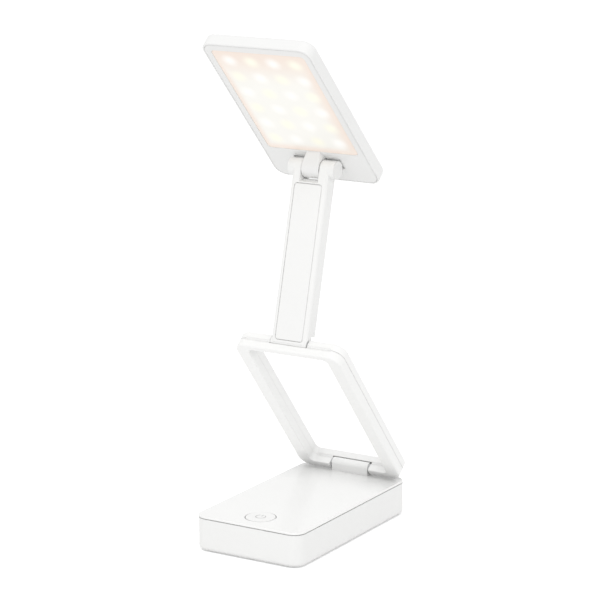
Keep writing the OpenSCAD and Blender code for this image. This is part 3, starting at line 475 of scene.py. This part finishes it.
# cross-recessed screws, cold headed and zinc plated: the places, lengths and heads come from
# the solids that they stand for
screwLooks = {
    "frameScrewSet": {"node": "frame_screws", "body": "frame", "shankMm": 0.9, "headMm": 1.1,
                      "facing": onFrame},
    "armScrewSet": {"node": "arm_screws", "body": "arm", "shankMm": 0.9, "headMm": 1.1,
                    "facing": onArm},
    "baseScrewSet": {"node": "base_screws", "body": "base", "shankMm": 1.25, "headMm": 1.6,
                     "facing": Matrix.Rotation(math.pi, 4, "X")},
}
screwShape = {
    "headTop": 0.9,      # shares of the head's radius
    "crossLong": 1.25,
    "crossWide": 0.3,
    "crossDeep": 0.6,    # share of the head's height
    "core": 0.78,        # shares of the shank's radius
    "coreTip": 0.7 * 0.78,
    "threadTip": 0.8 * 0.78,
    "threadLong": 0.94,  # share of the shank's length
    "pitchMm": 0.6,
    "headSides": 32,
    "shankSides": 20,
    "threadSides": 3,
    "threadSteps": 16,   # in a turn
    "seed": 7,
}


# lowest and highest corner of each loose solid of a node, in the axes of its panel
def looseBoxes(node, back):
    bm = bmesh.new()
    bm.from_mesh(node.data)
    bmesh.ops.remove_doubles(bm, verts=bm.verts, dist=1e-6)
    waiting = set(bm.verts)
    boxes = []
    for first in bm.verts:
        if first not in waiting:
            continue
        waiting.remove(first)
        group = [first]
        for v in group:
            for e in v.link_edges:
                other = e.other_vert(v)
                if other in waiting:
                    waiting.remove(other)
                    group.append(other)
        spots = [back @ v.co for v in group]
        boxes.append([Vector([pick(s[i] for s in spots) for i in range(3)]) for pick in (min, max)])
    bm.free()
    return sorted(boxes, key=lambda box: [round(c, 5) for c in box[0]])   # the same order each run


# one tree for all sets: a screw at each point, head up, each turned to its own angle
def screwTree(shape):
    tree = bpy.data.node_groups.new("crossHeadScrews", "GeometryNodeTree")
    face = tree.interface
    sizeNames = ("Head radius", "Head height", "Shank radius", "Shank length")
    face.new_socket("Places", in_out="INPUT", socket_type="NodeSocketGeometry")
    for name in sizeNames:
        face.new_socket(name, in_out="INPUT", socket_type="NodeSocketFloat")
    face.new_socket("Finish", in_out="INPUT", socket_type="NodeSocketMaterial")
    face.new_socket("Screws", in_out="OUTPUT", socket_type="NodeSocketGeometry")
    given = addNode(tree, "NodeGroupInput").outputs
    size = {name: given[name] for name in sizeNames}
    for name, source, factor in (("headTop", "Head radius", shape["headTop"]),
                                 ("crossLong", "Head radius", shape["crossLong"]),
                                 ("crossWide", "Head radius", shape["crossWide"]),
                                 ("crossHigh", "Head height", 2 * shape["crossDeep"]),
                                 ("underHead", "Head height", -1.0),
                                 ("core", "Shank radius", shape["core"]),
                                 ("coreTip", "Shank radius", shape["coreTip"]),
                                 ("threadTip", "Shank radius", shape["threadTip"]),
                                 ("threadLong", "Shank length", shape["threadLong"])):
        size[name] = addNode(tree, "ShaderNodeMath", {0: size[source], 1: factor},
                             operation="MULTIPLY").outputs[0]
    for name, first, second, how in (("tip", "underHead", "Shank length", "SUBTRACT"),
                                     ("ridge", "Shank radius", "core", "SUBTRACT")):
        size[name] = addNode(tree, "ShaderNodeMath", {0: size[first], 1: size[second]},
                             operation=how).outputs[0]

    # head with its cross, its top at the point
    head = addNode(tree, "GeometryNodeMeshCone", {
        "Vertices": shape["headSides"], "Radius Top": size["headTop"],
        "Radius Bottom": size["Head radius"], "Depth": size["Head height"]}).outputs["Mesh"]
    down = addNode(tree, "ShaderNodeCombineXYZ", {"Z": size["underHead"]}).outputs[0]
    head = addNode(tree, "GeometryNodeTransform", {
        "Geometry": head, "Translation": down}).outputs[0]
    cut = addNode(tree, "GeometryNodeMeshBoolean", {"Mesh 1": head}, operation="DIFFERENCE")
    for x, y in (("crossLong", "crossWide"), ("crossWide", "crossLong")):
        box = addNode(tree, "ShaderNodeCombineXYZ", {"X": size[x], "Y": size[y],
                                                     "Z": size["crossHigh"]}).outputs[0]
        bar = addNode(tree, "GeometryNodeMeshCube", {"Size": box}).outputs["Mesh"]
        tree.links.new(bar, cut.inputs["Mesh 2"])

    # shank and thread, up from the tip
    low = addNode(tree, "ShaderNodeCombineXYZ", {"Z": size["tip"]}).outputs[0]
    shank = addNode(tree, "GeometryNodeMeshCone", {
        "Vertices": shape["shankSides"], "Radius Top": size["core"],
        "Radius Bottom": size["coreTip"], "Depth": size["Shank length"]}).outputs["Mesh"]
    shank = addNode(tree, "GeometryNodeTransform", {
        "Geometry": shank, "Translation": low}).outputs[0]
    turns = addNode(tree, "ShaderNodeMath", {0: size["Shank length"], 1: shape["pitchMm"] * mm},
                    operation="DIVIDE").outputs[0]
    helix = addNode(tree, "GeometryNodeCurveSpiral", {
        "Resolution": shape["threadSteps"], "Rotations": turns, "Start Radius": size["threadTip"],
        "End Radius": size["core"], "Height": size["threadLong"]}).outputs[0]
    helix = addNode(tree, "GeometryNodeTransform", {
        "Geometry": helix, "Translation": low}).outputs[0]
    profile = addNode(tree, "GeometryNodeCurvePrimitiveCircle", {
        "Resolution": shape["threadSides"], "Radius": size["ridge"]}).outputs["Curve"]
    thread = addNode(tree, "GeometryNodeCurveToMesh", {
        "Curve": helix, "Profile Curve": profile, "Fill Caps": True}).outputs[0]

    one = addNode(tree, "GeometryNodeJoinGeometry")
    for part in (thread, shank, cut.outputs["Mesh"]):
        tree.links.new(part, one.inputs[0])
    twist = addNode(tree, "FunctionNodeRandomValue", {
        "Max": (0.0, 0.0, 2 * math.pi), "Seed": shape["seed"]}, data_type="FLOAT_VECTOR").outputs[0]
    spread = addNode(tree, "GeometryNodeInstanceOnPoints", {
        "Points": given["Places"], "Instance": one.outputs[0], "Rotation": twist}).outputs[0]
    solid = addNode(tree, "GeometryNodeRealizeInstances", {"Geometry": spread}).outputs[0]
    dressed = addNode(tree, "GeometryNodeSetMaterial", {
        "Geometry": solid, "Material": given["Finish"]}).outputs[0]
    addNode(tree, "NodeGroupOutput", {"Screws": dressed})
    return tree


def addScrews(name, look, tree):
    boxes = looseBoxes(cad[look["node"]], look["facing"].inverted())
    tops = [Vector(((low.x + high.x) / 2, (low.y + high.y) / 2, high.z)) for low, high in boxes]
    low, high = boxes[0]
    sizes = {
        "Head radius": (high.x - low.x) / 2, "Head height": look["headMm"] * mm,
        "Shank radius": look["shankMm"] * mm,
        "Shank length": high.z - low.z - look["headMm"] * mm,
        "Finish": small["turnedZincSteel"],
    }
    places = bpy.data.meshes.new(name + "Places")
    places.from_pydata(tops, [], [])
    holder = bpy.data.objects.new(name + "Places", places)
    bpy.context.scene.collection.objects.link(holder)
    modifier = holder.modifiers.new("screws", "NODES")
    modifier.node_group = tree
    for item in tree.interface.items_tree:
        if item.in_out == "INPUT" and item.name in sizes:
            modifier[item.identifier] = sizes[item.name]
    bpy.context.view_layer.update()
    made = holder.evaluated_get(bpy.context.evaluated_depsgraph_get())
    mesh = bpy.data.meshes.new_from_object(made)
    holder.modifiers.remove(modifier)
    bpy.data.objects.remove(holder)
    mesh.transform(look["facing"])
    mesh.name = name
    piece = addPiece(name, mesh, small["turnedZincSteel"], look["body"])
    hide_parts(look["node"])
    return piece


screws = screwTree(screwShape)
for name, look in screwLooks.items():
    made = addScrews(name, look, screws)
    print(name, len(made.data.polygons), "faces")


# plain soft light: one large panel at the front right, a white sky and a white floor
studio = {
    "ambient": 0.84,
    "aim": (0.0, 0.0, 0.17),
    "floorColour": "#FAFAFA",
    "floorLift": 0.32,
    "floorHalf": 4.0,
    "floorDropMm": 0.05,   # under the feet, so that the two don't share a plane
}
# watts, degrees from the front, degrees up, metres away and metres wide
lamps = {"keyPanel": {"watts": 9.5, "side": 24, "rise": 46, "away": 2.0, "size": 1.2}}


def addLamp(name, look):
    lamp = bpy.data.lights.new(name, "AREA")
    lamp.energy = look["watts"]
    lamp.shape = "SQUARE"
    lamp.size = look["size"]
    side = math.radians(look["side"])
    rise = math.radians(look["rise"])
    toLamp = Vector((math.sin(side) * math.cos(rise), -math.cos(side) * math.cos(rise),
                     math.sin(rise)))
    holder = bpy.data.objects.new(name, lamp)
    holder.location = Vector(studio["aim"]) + toLamp * look["away"]
    holder.rotation_euler = toLamp.to_track_quat("Z", "Y").to_euler()
    bpy.context.scene.collection.objects.link(holder)


for name, look in lamps.items():
    addLamp(name, look)


# 1 where the camera, a reflection or a clear part sees the surface, 0 where it only lights
def seenDirectly(tree):
    path = addNode(tree, "ShaderNodeLightPath").outputs
    seen = path["Is Camera Ray"]
    for ray in ("Is Glossy Ray", "Is Transmission Ray"):
        seen = addNode(tree, "ShaderNodeMath", {0: seen, 1: path[ray]},
                       operation="MAXIMUM").outputs[0]
    return seen


world = bpy.data.worlds.new("softStudio")
bpy.context.scene.world = world
world.use_nodes = True
sky = world.node_tree
sky.nodes.clear()
level = addNode(sky, "ShaderNodeMapRange", {
    "Value": seenDirectly(sky), "To Min": studio["ambient"], "To Max": 1.0}).outputs["Result"]
white = addNode(sky, "ShaderNodeBackground", {"Color": (1, 1, 1, 1), "Strength": level})
addNode(sky, "ShaderNodeOutputWorld", {"Surface": white.outputs[0]})

floorBm = bmesh.new()
bmesh.ops.create_grid(floorBm, x_segments=1, y_segments=1, size=studio["floorHalf"])
floorMesh = bpy.data.meshes.new("floor")
floorBm.to_mesh(floorMesh)
floorBm.free()
floor = bpy.data.objects.new("floor", floorMesh)
floor.location.z = -studio["floorDropMm"] * mm
bpy.context.scene.collection.objects.link(floor)
# paper, uncoated: matt white, lifted a little where it is seen so that it meets the sky
paper, tree, place = startMaterial("whitePaperSweep")
matt = addNode(tree, "ShaderNodeBsdfDiffuse", {"Color": fromHex(studio["floorColour"])})
lift = addNode(tree, "ShaderNodeMath", {0: seenDirectly(tree), 1: studio["floorLift"]},
               operation="MULTIPLY").outputs[0]
veil = addNode(tree, "ShaderNodeEmission", {"Color": (1, 1, 1, 1), "Strength": lift})
closeMaterial(tree, addNode(tree, "ShaderNodeAddShader", {0: matt.outputs[0], 1: veil.outputs[0]}))
floorMesh.materials.append(paper)
bpy.context.scene.view_settings.view_transform = "Standard"
print("studio lit")


cameraSet = {
    "azimuth": 31.635, "elevation": 13.195, "roll": -0.284,   # degrees
    "distance": 1.82459, "target": (-0.086768, 0.138576, 0.118906),
    "focalPx": 2549.31, "widthPx": 600, "sensorMm": 36.0, "clipEnd": 20.0,
}
azimuth, elevation, roll = (math.radians(cameraSet[k]) for k in ("azimuth", "elevation", "roll"))
away = Vector((math.sin(azimuth) * math.cos(elevation), -math.cos(azimuth) * math.cos(elevation),
               math.sin(elevation)))
right = Vector((math.cos(azimuth), math.sin(azimuth), 0.0))
up = away.cross(right)
rolledRight = right * math.cos(roll) + up * math.sin(roll)
rolledUp = up * math.cos(roll) - right * math.sin(roll)
turn = Matrix((rolledRight, rolledUp, away)).transposed().to_4x4()
stand = Matrix.Translation(Vector(cameraSet["target"]) + away * cameraSet["distance"])
camera = bpy.data.objects.new("camera", bpy.data.cameras.new("camera"))
camera.data.sensor_width = cameraSet["sensorMm"]
camera.data.lens = cameraSet["focalPx"] / cameraSet["widthPx"] * cameraSet["sensorMm"]
camera.data.clip_end = cameraSet["clipEnd"]
camera.matrix_world = stand @ turn
bpy.context.scene.collection.objects.link(camera)
bpy.context.scene.camera = camera
print("camera set")
